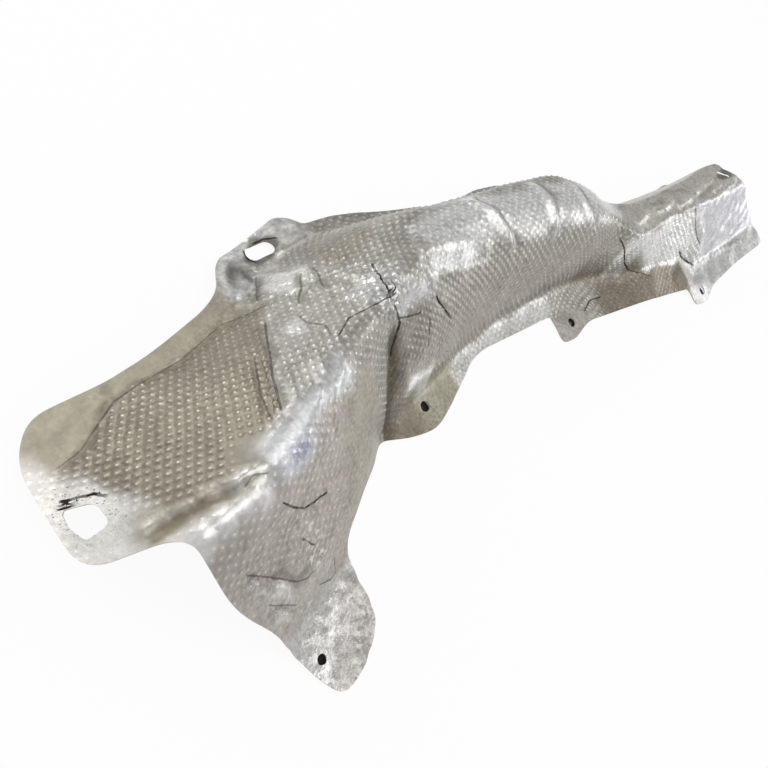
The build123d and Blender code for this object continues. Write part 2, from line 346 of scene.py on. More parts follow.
def rounded_loop(corners):
    """Points round a loop of (s, t, rounding) corners, in X and Y."""
    xy = np.array([plan(s, t) for s, t, back in corners])
    points = []
    for i, (s, t, back) in enumerate(corners):
        here, before, after = xy[i], xy[i - 1] - xy[i], xy[(i + 1) % len(xy)] - xy[i]
        room = min(back, 0.48 * np.hypot(*before), 0.48 * np.hypot(*after))
        enter = here + before / np.hypot(*before) * room
        leave = here + after / np.hypot(*after) * room
        for w in np.linspace(0, 1, 9):
            points.append(enter * (1 - w) ** 2 + here * 2 * w * (1 - w) + leave * w * w)
    return np.array(points)


def round_loop(centre, r, reach=0.0, angle=0.0):
    """Points round a hole of radius r, drawn out by reach along angle into a slot."""
    around = np.linspace(0, 2 * math.pi, 49)[:-1]
    x, y = r * np.cos(around), r * np.sin(around)
    x = x + np.where(np.cos(around) > 0, reach / 2, -reach / 2)
    a = math.radians(angle)
    return np.array(plan(*centre))[None, :] + np.stack(
        [x * math.cos(a) - y * math.sin(a), x * math.sin(a) + y * math.cos(a)], axis=1)


# the trimmed outline, from the lobe round the mouth, along the near side, and back along the far side
lobe = [(8, 99, 8), (-14, 106, 14), (-35, 92, 16), (-49, 56, 10), (-60, 27, 16), (-23, 3, 12)]
mouth_edge = [(-30, -46, 22), (-18, -84, 14), (-18, -128, 12)]
tongue = [(-16, -146, 12), (8, -149, 16), (37, -139, 14), (49, -106, 14), (56, -84, 12)]
valley_corner = [(94, -72, 16), (137, -69, 8)]
near_tab_1 = [(164, -91, 10), (186, -103, 14), (240, -98, 14), (300, -80, 20)]
near_tab_2 = [(413, -71, 3), (417, -99, 6), (434, -99, 7), (462, -87, 10)]
skirt = [(540, -88, 20), (634, -92, 5)]
near_tab_3 = [(641, -112, 7), (664, -112, 8), (686, -97, 8)]
end_edge = [(732, -84, 14), (796, -71, 16), (787, -46, 12), (750, -15, 12), (730, 5, 8)]
end_ear = [(714, 26, 10), (694, 36, 10)]
far_side = [(640, 24, 14), (520, 22, 20), (478, 50, 14), (458, 58, 8)]
far_pad = [(450, 72, 6), (400, 71, 8), (360, 60, 12)]
far_tab = [(250, 80, 12), (229, 86, 6), (222, 104, 9), (154, 106, 12), (131, 88, 10)]
far_strip = [(112, 84, 10), (60, 86, 16), (28, 92, 10)]
outline = (lobe + mouth_edge + tongue + valley_corner + near_tab_1 + near_tab_2 + skirt + near_tab_3
           + end_edge + end_ear + far_side + far_pad + far_tab + far_strip)
torn_hole = [(-41, 57, 3), (-29, 47, 4), (-34, 33, 4), (-47, 36, 3), (-46, 48, 2)]

bolt_line = np.array(plan(*near_bolt_3)) - np.array(plan(*near_bolt_1))
bolt_line_angle = math.atan2(bolt_line[1], bolt_line[0])
far_bolt = (near_bolt_2[0] - far_bolt_reach * math.sin(bolt_line_angle),
            near_bolt_2[1] + far_bolt_reach * math.cos(bolt_line_angle))
holes = [round_loop(near_bolt_1, bolt_hole_r), round_loop(near_bolt_2, bolt_hole_r),
         round_loop(near_bolt_3, bolt_hole_r), round_loop(far_bolt, bolt_hole_r),
         round_loop(tongue_hole, tongue_hole_r), round_loop(far_slot, 6.0, 14.0, 12.0),
         round_loop(end_slit, 2.0, 14.0, -33.0), rounded_loop(torn_hole)]


batch = 4000
hole_reach = 45


def inside_distance(x, y, loop):
    """Distance to the loop, positive inside it."""
    a, b = loop, np.roll(loop, -1, axis=0)
    way = b - a
    length2 = np.maximum((way ** 2).sum(1), 1e-12)
    out = np.zeros(len(x))
    for first in range(0, len(x), batch):
        px, py = x[first:first + batch, None], y[first:first + batch, None]
        share = np.clip(((px - a[:, 0]) * way[:, 0] + (py - a[:, 1]) * way[:, 1]) / length2, 0, 1)
        off = np.hypot(px - a[:, 0] - share * way[:, 0], py - a[:, 1] - share * way[:, 1]).min(1)
        spans = (a[:, 1] > py) != (b[:, 1] > py)
        rise = np.where(way[:, 1] == 0, 1e-12, way[:, 1])
        crossing = a[:, 0] + (py - a[:, 1]) * way[:, 0] / rise
        inside = (spans & (px < crossing)).sum(1) % 2 == 1
        out[first:first + batch] = np.where(inside, off, -off)
    return out


def metal_distance(s, t):
    """Distance to the nearest cut edge of the sheet, positive on metal."""
    x, y = plan(s, t)
    metal = inside_distance(x, y, rounded_loop(outline))
    for hole in holes:
        close = np.hypot(x - hole[:, 0].mean(), y - hole[:, 1].mean()) < hole_reach
        metal[close] = np.minimum(metal[close], -inside_distance(x[close], y[close], hole))
    return metal


# the lattice's cells that hold metal: corner p, q in steps of the pitch along the two rows of dimples
diagonal = dimple_pitch / math.sqrt(2)
lowest, highest = -60, 160
widest, margin = 210, 6.0


def spine_place(p, q):
    return (p + q) * diagonal, (q - p) * diagonal


p, q = np.meshgrid(np.arange(lowest, highest), np.arange(lowest, highest), indexing="ij")
p, q = p.ravel(), q.ravel()
s, v = spine_place(p + 0.5, q + 0.5)
near = (s > first_station - margin) & (s < last_station + margin) & (np.abs(v) < widest)
p, q, s, v = p[near], q[near], s[near], v[near]
near = metal_distance(s, sheet_point(s, v)[0]) > -margin
p, q = p[near], q[near]
cells = len(p)

# each cell has a peak, a ring of eight round it, and eight points on its border that its neighbours share
around = np.array([(0, 0), (1, 0), (2, 0), (2, 1), (2, 2), (1, 2), (0, 2), (0, 1)])
stride = 4096
border_key = (2 * p[:, None] + around[:, 0]) * stride + (2 * q[:, None] + around[:, 1])
border_keys, border = np.unique(border_key, return_inverse=True)
border = border.reshape(cells, 8)
border_p, border_q = border_keys // stride, border_keys % stride
wrapped = border_q > stride // 2
border_p, border_q = np.where(wrapped, border_p + 1, border_p), np.where(wrapped, border_q - stride, border_q)
spokes = (around - 1) / np.hypot(*(around - 1).T)[:, None] * dimple_ring
all_p = np.concatenate([border_p / 2, (p[:, None] + 0.5 + spokes[:, 0]).ravel(), p + 0.5])
all_q = np.concatenate([border_q / 2, (q[:, None] + 0.5 + spokes[:, 1]).ravel(), q + 0.5])
rise_share = np.concatenate([np.zeros(len(border_keys)), np.full(8 * cells, ring_height), np.ones(cells)])
ring = len(border_keys) + np.arange(8 * cells).reshape(cells, 8)
peak = len(border_keys) + 8 * cells + np.arange(cells)
following = np.roll(np.arange(8), -1)
cap = np.stack([np.repeat(peak, 8), ring.ravel(), ring[:, following].ravel()], axis=1)
skirt_1 = np.stack([ring.ravel(), border.ravel(), border[:, following].ravel()], axis=1)
skirt_2 = np.stack([ring.ravel(), border[:, following].ravel(), ring[:, following].ravel()], axis=1)
triangles = np.stack([cap.reshape(cells, 8, 3), skirt_1.reshape(cells, 8, 3), skirt_2.reshape(cells, 8, 3)],
                     axis=1).reshape(cells, 24, 3)

vert_s, vert_v = spine_place(all_p, all_q)
vert_t, vert_z = sheet_point(vert_s, vert_v)
row_place = (vert_s - first_station) / row_step
row_end = np.interp(row_place, np.arange(len(row_s)), row_v[:, -1])
row_start = np.interp(row_place, np.arange(len(row_s)), row_v[:, 0])
metal = np.minimum(metal_distance(vert_s, vert_t), np.minimum(row_end - vert_v, vert_v - row_start))


def soft_waves(s, t, waves, longest, shortest):
    """Smooth random waviness of about unit height."""
    total = np.zeros(len(s))
    for _ in range(waves):
        length = rng.uniform(shortest, longest)
        angle, phase = rng.uniform(0, math.pi), rng.uniform(0, 2 * math.pi)
        total += np.sin((s * math.cos(angle) + t * math.sin(angle)) * 2 * math.pi / length + phase)
    return total / math.sqrt(waves / 2)


def mouth_calm(s, t):
    """1 round the fold at the mouth, where the sheet is even."""
    return patch(s, t, (10, 0), 60, 30, 0.5)


def finish_and_painted_light(s, t):
    """Colour, roughness and share of embossing of the upper side, laid on zone by zone; besides the metal's own
    tones, many zones are painted highlights, reflections and shade.
    """
    ragged = 1 - 0.85 * mouth_calm(s, t)
    uneven = ragged * (2.2 * np.sin(s / 6.5 + t / 17) + 1.6 * np.sin(s / 3.7 - t / 6.1 + 1))
    s, t = s + uneven, t + 2.2 * ragged * np.sin(t / 5.9 + s / 13 + 2) + 0.5 * uneven
    foot, shoulder = near_foot_t(s), near_shoulder_t(s)
    valley = s - np.interp(t, [-70, -52, -25, -10], [138, 146, 155, 160])
    tunnel = ramp(s, 225, 250)
    panel_near = np.interp(s, [-60, -30, 20, 59, 119, 136], [30, 18, -5, 7, 48, 60])
    panel_far = np.interp(s, *np.array(far_fold, float).T)
    flap = (1 - ramp(s, 120, 140)) * ramp(-t, 12, 20)
    end = ramp(s, 500, 515)
    box_side = 1 - ramp((s - 627) - (-21 - t) * 1.35, -3, 3)
    # tones for painted highlights and painted shade on the beads, the box, the flap, the curl and the dents
    bead_highlight, bead_shadow = (0.76, 0.76, 0.74), (0.26, 0.25, 0.23)
    box_highlight, box_shadow = (0.70, 0.67, 0.62), (0.30, 0.265, 0.205)
    flap_highlight, flap_shadow = (0.72, 0.70, 0.68), (0.20, 0.175, 0.15)
    curl_highlight, dent_shadow = (0.72, 0.71, 0.68), (0.20, 0.18, 0.14)
    # each zone: where it lies, colour, roughness and share of embossing
    zones = [
        # near wall, top of the tunnel and near flange
        (between(t, foot, shoulder - 4, 5) * ramp(s, 150, 170), (0.49, 0.456, 0.398), 0.40, 1.7),
        (tunnel * between(t, -16, 26, 6), (0.78, 0.775, 0.75), 0.33, 0.6),
        (tunnel * ramp(foot - t, 2, 7) * (1 - ramp(s, 410, 420)), (0.64, 0.63, 0.61), 0.36, 0.4),
        # panel of the hood and the sheet beside it
        (ramp(t - panel_near, 0, 5) * ramp(panel_far - t, -1, 4) * ramp(s, -34, -10), (0.33, 0.30, 0.235), 0.40, 1.3),
        (ramp(panel_near - t, -3, 3) * ramp(t, -8, 0) * between(s, 59, 215, 6), (0.46, 0.445, 0.40), 0.37, 0.8),
        (patch(s, t, (90, 12), 20, 10, 0.5), (0.42, 0.405, 0.365), 0.44, 1.0),
        (patch(s, t, (205, 50), 24, 18), (0.36, 0.33, 0.275), 0.42, 1.0),
        # far strip and lobe
        (ramp(t - panel_far, -2, 1) * (1 - ramp(s, 125, 140)), (0.40, 0.37, 0.29), 0.5, 0.0),
        (1 - ramp(s + 0.15 * (t - 50), -34, -14), (0.86, 0.825, 0.775), 0.46, 0.35),
        (patch(s, t, (-38, 36), 16, 26, 0.4), (0.74, 0.725, 0.69), 0.48, 0.05),
        # flap at the mouth
        (flap, (0.52, 0.475, 0.435), 0.40, 0.6),
        (flap * ramp(-t - 0.5 * s, 54, 66), (0.54, 0.50, 0.465), 0.38, 0.1),
        (flap * ramp(s - 0.6 * t, 85, 110), (0.40, 0.37, 0.31), 0.42, 0.1),
        # fold at the mouth, its roll and curl, and the shoulder behind it
        (crease(s, t, panel_lip, 7.0), (0.40, 0.37, 0.30), 0.42, 0.1),
        # painted highlights on the lip, the roll and the curl, and painted shade in the valley of the fold
        (crease(s, t, panel_lip, 2.6), (0.60, 0.57, 0.50), 0.34, 0.0),
        (np.minimum(1.4 * crease(s, t, fold_valley, 4.0), 1), (0.25, 0.225, 0.165), 0.5, 0.0),
        (np.minimum(1.4 * crease(s, t, mouth_roll, 6.5), 1), (0.78, 0.765, 0.75), 0.38, 0.0),
        (patch(s, t, (29, 5), 12, 8, 0.4), (0.27, 0.25, 0.205), 0.5, 0.0),
        (crease(s, t, curl, 2.4), curl_highlight, 0.3, 0.0),
        (crease(s, t, curl_under, 2.4), curl_highlight, 0.3, 0.0),
        # painted bluish reflections on the smooth shoulder behind the fold
        (np.minimum(1.6 * crease(s, t, smooth_shoulder, 8), 1), (0.57, 0.575, 0.575), 0.34, 0.0),
        (patch(s, t, (45, -15), 17, 8, 0.5), (0.80, 0.80, 0.83), 0.32, 0.5),
        (patch(s, t, (47, -16), 8, 4, 0.6), (0.52, 0.52, 0.64), 0.28, 0.4),
        # tongue
        (ramp(-t, 88, 100) * (1 - ramp(s, 55, 65)), (0.66, 0.65, 0.625), 0.31, 0.05),
        (crease(s, t, [(48, -106), (38, -130), (22, -142), (-6, -144)], 11), (0.40, 0.375, 0.35), 0.45, 0.0),
        (patch(s, t, (30, -128), 17, 15, 0.4), (0.56, 0.535, 0.51), 0.40, 0.0),
        (patch(s, t, (2, -139), 13, 10, 0.4), (0.48, 0.455, 0.425), 0.42, 0.0),
        # first near tab and the valley beside it
        (patch(s, t, (190, -32), 24, 16), (0.36, 0.33, 0.28), 0.34, 1.0),
        (between(s, 132, 250, 8) * ramp(-t, 66, 76), (0.37, 0.35, 0.275), 0.45, 0.0),
        (between(s, 132, 182, 8) * ramp(-t, 62, 72), (0.25, 0.225, 0.17), 0.5, 0.0),
        # the valley beside the first tab is painted almost black-brown: painted shade in the recess behind the flap;
        # its black specks are dirt
        (ramp(valley, -1, 2) * (1 - ramp(valley, 6, 30)) * between(t, -76, -18, 6), (0.13, 0.112, 0.075), 0.6, 0.5),
        # the joggle's riser is painted near white: a painted highlight
        (np.minimum(1.5 * crease(s, t, joggle, 6.5), 1), (0.95, 0.95, 0.94), 0.22, 0.1),
        # crumpled top and the facet
        (patch(s, t, (178, 9), 24, 14), (0.68, 0.675, 0.65), 0.27, 1.0),
        (crease(s, t, [(182, -8), (200, -12), (216, -18)], 5), (0.55, 0.55, 0.55), 0.3, 0.0),
        # the facet is painted pale and its rim lighter still: painted highlights
        (patch(s, t, (258, -12), 36, 10), (0.60, 0.60, 0.585), 0.36, 0.35),
        (0.5 * crease(s, t, facet_edge, 2.4), (0.85, 0.85, 0.83), 0.3, 0.1),
        # far tab, boss and the bright corner of the panel
        (ramp(t, 70, 76) * between(s, 129, 232, 6), (0.54, 0.53, 0.50), 0.34, 0.0),
        # painted reflections on the far tab's rolled edges: a dark bluish band, bright arcs and a bright edge as
        # painted highlights, a dark line beside them, and painted shade round the far slot
        (0.9 * crease(s, t, [(149, 99), (157, 86), (164, 76)], 6), (0.15, 0.15, 0.16), 0.34, 0.0),
        (0.8 * crease(s, t, [(208, 100), (214, 84), (216, 70)], 5), (0.72, 0.715, 0.69), 0.3, 0.0),
        (0.9 * crease(s, t, [(134, 80), (141, 90), (160, 101), (190, 103)], 3), (0.85, 0.84, 0.82), 0.3, 0.0),
        (0.7 * crease(s, t, [(150, 90), (168, 84), (200, 80), (225, 76)], 3), (0.22, 0.21, 0.18), 0.36, 0.0),
        (0.85 * patch(s, t, (192, 91), 16, 10, 0.15), (0.15, 0.14, 0.12), 0.45, 0.0),
        (patch(s, t, (166, 61), 15, 14), (0.64, 0.635, 0.61), 0.28, 0.15),
        (patch(s, t, (120, 31), 7, 5, 0.5), (0.74, 0.735, 0.71), 0.28, 0.6),
        # beads: a painted highlight along each one and painted shade beside it
        (0.8 * crease(s, t, bead_1, 5), bead_highlight, 0.32, 0.0),
        (0.7 * crease(s, t, bead_2, 4), bead_highlight, 0.32, 0.0),
        (0.7 * crease(s, t, bead_3, 4), bead_highlight, 0.32, 0.0),
        *((0.75 * crease(s, t, side, 3), bead_shadow, 0.36, 0.0) for side in (bead_1_side, bead_2_side, bead_3_side)),
        # second near tab and skirt
        (patch(s, t, (438, -86), 28, 16), (0.42, 0.39, 0.35), 0.42, 0.0),
        (between(s, 488, 580, 10) * ramp(-t, 50, 62), (0.24, 0.208, 0.16), 0.55, 0.5),
        # end box, the sheet below it and the third near tab
        (end * ramp(t - shoulder, 1, 6), (0.52, 0.49, 0.455), 0.38, 0.12),
        # the near slope of the end box is painted near white: a painted highlight
        (end * between(t, foot - 4, shoulder, 3) * box_side, (0.96, 0.96, 0.935), 0.28, 1.5),
        (end * between(t, foot, shoulder + 2, 3) * (1 - box_side), (0.60, 0.60, 0.625), 0.32, 0.0),
        (between(s, 578, 634, 6) * ramp(-t, 56, 62), (0.34, 0.305, 0.245), 0.44, 1.2),
        (ramp(s, 632, 642) * ramp(foot - t, -2, 4), (0.56, 0.555, 0.55), 0.34, 0.1),
        # painted shade along the near foot's crease
        (crease(s, t, [(450, -46), (505, -49), (560, -58)], 7), (0.28, 0.25, 0.195), 0.5, 0.6),
        # painted highlights on the box's ridges, painted shade in the grooves of its top
        (0.8 * crease(s, t, box_ridge, 3), (0.95, 0.95, 0.93), 0.28, 0.0),
        (0.6 * crease(s, t, box_top_ridge_1, 2.6), box_highlight, 0.32, 0.0),
        (0.6 * crease(s, t, box_top_ridge_2, 2.6), box_highlight, 0.32, 0.0),
        (0.6 * crease(s, t, box_top_groove_1, 2.6), box_shadow, 0.45, 0.0),
        (0.6 * crease(s, t, box_top_groove_2, 2.6), box_shadow, 0.45, 0.0),
        # painted shade: the surround of the end slit is painted dark for the slit's dark inside
        (0.85 * patch(s, t, end_slit, 13, 6, 0.2), (0.14, 0.12, 0.10), 0.5, 0.0),
        # painted shade in the dark creases and dents, a dark patch below the end box, and painted highlights on the
        # ridges of the flap
        (0.75 * crease(s, t, far_fold, 2.6), (0.20, 0.175, 0.125), 0.5, 0.0),
        (0.6 * crease(s, t, panel_crease, 2.0), dent_shadow, 0.45, 0.0),
        (0.5 * crease(s, t, panel_short_crease, 2.0), dent_shadow, 0.45, 0.2),
        (0.6 * crease(s, t, boss_left_dent, 2.4), dent_shadow, 0.45, 0.0),
        (0.7 * crease(s, t, boss_right_dent, 2.4), dent_shadow, 0.45, 0.0),
        (0.6 * crease(s, t, boss_outer_dent, 2.2), dent_shadow, 0.45, 0.2),
        (patch(s, t, (622, -80), 12, 18), (0.17, 0.15, 0.11), 0.5, 0.2),
        (0.7 * crease(s, t, flap_crease, 2.2), flap_shadow, 0.4, 0.0),
        (0.6 * crease(s, t, flap_low_crease, 2.2), flap_shadow, 0.4, 0.0),
        (0.7 * crease(s, t, flap_ridge, 2.2), flap_highlight, 0.3, 0.0),
        (0.7 * crease(s, t, flap_low_ridge, 2.2), flap_highlight, 0.3, 0.0)]
    colour = np.tile([0.46, 0.44, 0.40], (len(s), 1))
    roughness, embossing = np.full(len(s), 0.40), np.ones(len(s))
    for mask, tone, rough, share in zones:
        colour += mask[:, None] * (np.array(tone) - colour)
        roughness += mask * (rough - roughness)
        embossing += mask * (share - embossing)
    return colour, roughness, embossing


def crumple(s, t):
    """How crumpled the sheet is, in millimetres of height."""
    zones = [(1.7, patch(s, t, (176, 6), 26, 20, 0.5)), (1.0, ramp(-t, 84, 100) * (1 - ramp(s, 55, 65))),
             (1.2, patch(s, t, (165, 60), 40, 34, 0.4)), (0.6, patch(s, t, (172, -26), 30, 18, 0.5)),
             (0.45, ramp(s, 505, 530) * (1 - 0.7 * ramp(near_foot_t(s) - t, -4, 2))),
             (0.2, patch(s, t, (75, -14), 45, 16, 0.5)), (0.35, patch(s, t, (10, -60), 50, 40))]
    return np.maximum.reduce([height * mask for height, mask in zones])


height = sum(rise * crease(vert_s, vert_t, spots, width) for spots, width, rise in relief)
height -= sum(min(1.6 * half, 0.9) * dark * crease(vert_s, vert_t, spots, 1.7) for spots, half, dark in open_cracks)
height += 0.35 * soft_waves(vert_s, vert_t, 10, 70, 22)
height += crumple(vert_s, vert_t) * (0.55 * soft_waves(vert_s, vert_t, 18, 20, 8) + 0.2)
vert_z = vert_z + height
smooth = np.stack([*plan(vert_s, vert_t), vert_z], axis=1)

# normals of the smooth sheet, from the cells' faces
normal = np.zeros_like(smooth)
flat_triangles = triangles.reshape(-1, 3)
corners = smooth[flat_triangles]
facing = np.cross(corners[:, 1] - corners[:, 0], corners[:, 2] - corners[:, 0])
for k in range(3):
    np.add.at(normal, flat_triangles[:, k], facing)
normal /= np.maximum(np.linalg.norm(normal, axis=1), 1e-9)[:, None]

embossed = finish_and_painted_light(vert_s, vert_t)[2] * rise_share * dimple_height
embossed *= 1 + 0.12 * soft_waves(vert_s, vert_t, 8, 40, 9)
upper = smooth + normal * embossed[:, None]
lower = smooth - normal * sheet_thickness

# trim the cells by the outline and the holes
points_up, points_low = list(map(tuple, upper)), list(map(tuple, lower))
place_s, place_t, place_v, place_rise = list(vert_s), list(vert_t), list(vert_v), list(rise_share)
cut_points = {}


def cut_point(a, b):
    """The point where the edge from a to b meets the cut edge of the sheet."""
    key = (min(a, b), max(a, b))
    if key not in cut_points:
        a, b = key
        w = metal[a] / (metal[a] - metal[b])
        points_up.append(tuple((1 - w) * upper[a] + w * upper[b]))
        points_low.append(tuple((1 - w) * lower[a] + w * lower[b]))
        place_s.append((1 - w) * vert_s[a] + w * vert_s[b])
        place_t.append((1 - w) * vert_t[a] + w * vert_t[b])
        place_v.append((1 - w) * vert_v[a] + w * vert_v[b])
        place_rise.append((1 - w) * rise_share[a] + w * rise_share[b])
        cut_points[key] = len(points_up) - 1
    return cut_points[key]


def trimmed(triangle):
    """The metal part of a triangle, as a face, and its cut edge if it has one."""
    face, cut = [], []
    for a, b in zip(triangle, (*triangle[1:], triangle[0])):
        if metal[a] >= 0:
            face.append(a)
        if (metal[a] >= 0) != (metal[b] >= 0):
            face.append(cut_point(a, b))
            cut.append(face[-1])
    if len(cut) == 2 and face.index(cut[0]) != (face.index(cut[1]) - 1) % len(face):
        cut.reverse()
    return face, cut


on_metal = metal[triangles].min(axis=(1, 2)) >= 0
off_metal = metal[triangles].max(axis=(1, 2)) < 0
upper_faces = [tuple(f) for f in triangles[on_metal].reshape(-1, 3).tolist()]
flat_limit = 0.3
sag = np.linalg.norm(lower[border[:, ::2]].mean(axis=1) - lower[peak], axis=1)
curved = on_metal & (sag > flat_limit)
halved = np.zeros(len(border_keys), bool)
halved[border[~on_metal | curved]] = True
lower_faces = []
for cell in np.flatnonzero(on_metal):
    loop = [i for k, i in enumerate(border[cell].tolist()) if k % 2 == 0 or halved[i]]
    if curved[cell]:
        lower_faces += [(int(peak[cell]), after, here) for here, after in zip(loop, loop[1:] + loop[:1])]
    else:
        lower_faces.append(tuple(reversed(loop)))
rim_edges = []
for cell in np.flatnonzero(~on_metal & ~off_metal):
    for triangle in triangles[cell].tolist():
        face, cut = trimmed(triangle)
        if len(face) > 2:
            upper_faces.append(tuple(face))
            lower_faces.append(tuple(reversed(face)))
            if len(cut) == 2:
                rim_edges.append(tuple(cut))

# one closed skin: the upper side, the underside, and the rim between them
count = len(points_up)
faces = upper_faces + [tuple(i + count for i in f) for f in lower_faces]
faces += [(b, a, a + count, b + count) for a, b in rim_edges]
points = np.array(points_up + points_low)
used = np.zeros(len(points), bool)
used[np.fromiter((i for f in faces for i in f), int)] = True
renumber = np.cumsum(used) - 1
faces = [tuple(int(renumber[i]) for i in f) for f in faces]
points = points[used]
place = np.stack([np.tile(place_s, 2), np.tile(place_t, 2)], axis=1)[used]
is_lower = (np.arange(2 * count) >= count)[used]

# into the part's own frame: turned to the bolt line, then set on the solid's box
c, n = math.cos(-bolt_line_angle), math.sin(-bolt_line_angle)
turned = np.array([[c, -n, 0], [n, c, 0], [0, 0, 1]])
solid_low, solid_high = (np.array(corner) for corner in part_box("heat_shield"))
points = points @ turned.T / 1000
shift = np.array([*(solid_low + solid_high)[:2] / 2, solid_low[2]])
shift -= np.array([*(points.min(0) + points.max(0))[:2] / 2, points[:, 2].min()])
points += shift


def to_part(spot):
    """A point of the spine's plan, in millimetres, in the part's frame in metres."""
    return Vector(turned @ np.array(spot) / 1000 + shift)


def crack_field(s, t):
    """Signed distance across the nearest crack over its half width, and how dark it is there."""
    across, dark = np.full(len(s), 9.0), np.zeros(len(s))
    nearest = np.full(len(s), 1e9)
    for spots, half, depth in open_cracks + drawn_lines:
        for (s0, t0), (s1, t1) in zip(spots, spots[1:]):
            length = math.hypot(s1 - s0, t1 - t0)
            along = ((s - s0) * (s1 - s0) + (t - t0) * (t1 - t0)) / length
            side = ((s - s0) * (t1 - t0) - (t - t0) * (s1 - s0)) / length
            beyond = np.maximum(np.maximum(-along, along - length), 0)
            off = np.hypot(side, beyond)
            closer = off < nearest
            nearest = np.where(closer, off, nearest)
            across = np.where(closer, side / half, across)
            dark = np.where(closer, depth * (1 - ramp(beyond, 0.3, 1.6)) * (1 - ramp(off, 4, 6)), dark)
    return across, dark


sharp_angle = math.radians(62)
mesh = bpy.data.meshes.new("pressed_sheet")
mesh.from_pydata(points.tolist(), [], faces)
mesh.polygons.foreach_set("use_smooth", np.ones(len(faces), bool))
mesh.set_sharp_from_angle(angle=sharp_angle)


def point_values(name, kind, field, values):
    """Keep values on the mesh's points for the material."""
    kept = mesh.attributes.new(name, kind, "POINT")
    kept.data.foreach_set(field, np.ascontiguousarray(values, dtype=np.float32).ravel())


on_s, on_t = place.T
colour, roughness, embossing = finish_and_painted_light(on_s, on_t)
# each dimple's crown is painted much lighter, a painted highlight, and the ground between dimples darker
crown = np.tile(place_rise, 2)[used] * np.minimum(embossing, 1)
colour *= (0.72 + 0.28 * (1 - np.minimum(embossing, 1)) + 1.2 * crown)[:, None]
roughness -= 0.08 * crown
underside_colour, underside_roughness = (0.44, 0.42, 0.39), 0.45
colour[is_lower], roughness[is_lower] = underside_colour, underside_roughness
across, dark = crack_field(on_s, on_t)
scorched = np.maximum(patch(on_s, on_t, (-36, 48), 15, 20, 0.4), 0.8 * patch(on_s, on_t, (158, -36), 14, 34, 0.4))
grain = np.maximum(ramp(-on_t, 30, 45) * (1 - ramp(on_s, 120, 140)), 0.25)
bloom = np.maximum.reduce([patch(on_s, on_t, (28, -62), 10, 18, 0.4), patch(on_s, on_t, (6, -100), 12, 18, 0.4),
                           0.8 * patch(on_s, on_t, (32, -108), 7, 12, 0.4),
                           0.6 * patch(on_s, on_t, (-38, 40), 14, 24, 0.4)])
even_strip = np.maximum(1 - ramp(on_s, -30, -10), ramp(on_t, 70, 80) * (1 - ramp(on_s, 110, 130)))
rough_share = (1 - 0.6 * even_strip) * (0.95 + 0.05 * np.minimum(2.5 * embossing, 1))
rough_share *= 1 - 0.6 * mouth_calm(on_s, on_t)
upper_side = ~is_lower
on_v = np.tile(place_v, 2)[used]
point_values("place", "FLOAT_VECTOR", "vector", np.column_stack([on_s / 1000, on_v / 1000, is_lower * 0.1]))
point_values("tint", "FLOAT_COLOR", "color", np.column_stack([colour, rough_share]))
point_values("wear", "FLOAT_VECTOR", "vector",
             np.column_stack([roughness, scorched * upper_side, grain * upper_side]))
point_values("crack", "FLOAT_VECTOR", "vector", np.column_stack([across, dark * upper_side, bloom * upper_side]))
mesh.update()


def placed(name, data):
    """A new object in the scene."""
    thing = bpy.data.objects.new(name, data)
    scene.collection.objects.link(thing)
    return thing


shield = placed("pressed_sheet", mesh)
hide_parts("heat_shield")
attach(shield, "root")


class Field:
    """A value that varies over a surface: a node's socket that takes sums and products as expressions."""

    def __init__(self, tree, socket=None):
        self.tree = tree
        self.socket = socket

    def node(self, kind, settings, inputs, output=0):
        """A new node: its settings are made first, then its sockets' values or links."""
        made = self.tree.nodes.new(kind)
        for name, value in settings.items():
            setattr(made, name, value)
        for name, value in inputs.items():
            if isinstance(value, Field):
                self.tree.links.new(value.socket, made.inputs[name])
            else:
                made.inputs[name].default_value = value
        return Field(self.tree, made.outputs[output] if made.outputs else None)

    def maths(self, operation, *values):
        return self.node("ShaderNodeMath", {"operation": operation}, dict(enumerate(values)))

    def __add__(self, other):
        return self.maths("ADD", self, other)

    def __sub__(self, other):
        return self.maths("SUBTRACT", self, other)

    def __rsub__(self, other):
        return self.maths("SUBTRACT", other, self)

    def __mul__(self, other):
        return self.maths("MULTIPLY", self, other)

    __radd__ = __add__
    __rmul__ = __mul__


def empty_tree(owner):
    """The cleared node tree of a material or world."""
    owner.use_nodes = True
    owner.node_tree.nodes.clear()
    return Field(owner.node_tree)


# metal: aluminium whose colour, gloss, cracks and scorching are kept on the mesh's points
metal_look = bpy.data.materials.new("embossed_aluminium")
sheet = empty_tree(metal_look)


def kept(name, part=None):
    """Values kept on the points: the whole colour or vector, or one part of it."""
    if part is None:
        return sheet.node("ShaderNodeAttribute", {"attribute_name": name}, {}, "Color")
    whole = sheet.node("ShaderNodeAttribute", {"attribute_name": name}, {}, "Vector")
    return sheet.node("ShaderNodeSeparateXYZ", {}, {0: whole}, part)


def mottle(size, detail=2.0):
    """Soft random blotches of about this size in millimetres, from 0 to 1."""
    spots = sheet.node("ShaderNodeAttribute", {"attribute_name": "place"}, {}, "Vector")
    return sheet.node("ShaderNodeTexNoise", {}, {"Vector": spots, "Scale": 1000 / size, "Detail": detail})


def fade(value, start, end):
    """0 at start, 1 at end, smooth between."""
    return value.node("ShaderNodeMapRange", {"interpolation_type": "SMOOTHSTEP"},
                      {"Value": value, "From Min": start, "From Max": end})


def mixed(share, under, over, way="MIX"):
    settings = {"data_type": "RGBA", "blend_type": way}
    return sheet.node("ShaderNodeMix", settings, {0: share, 6: under, 7: over}, 2)


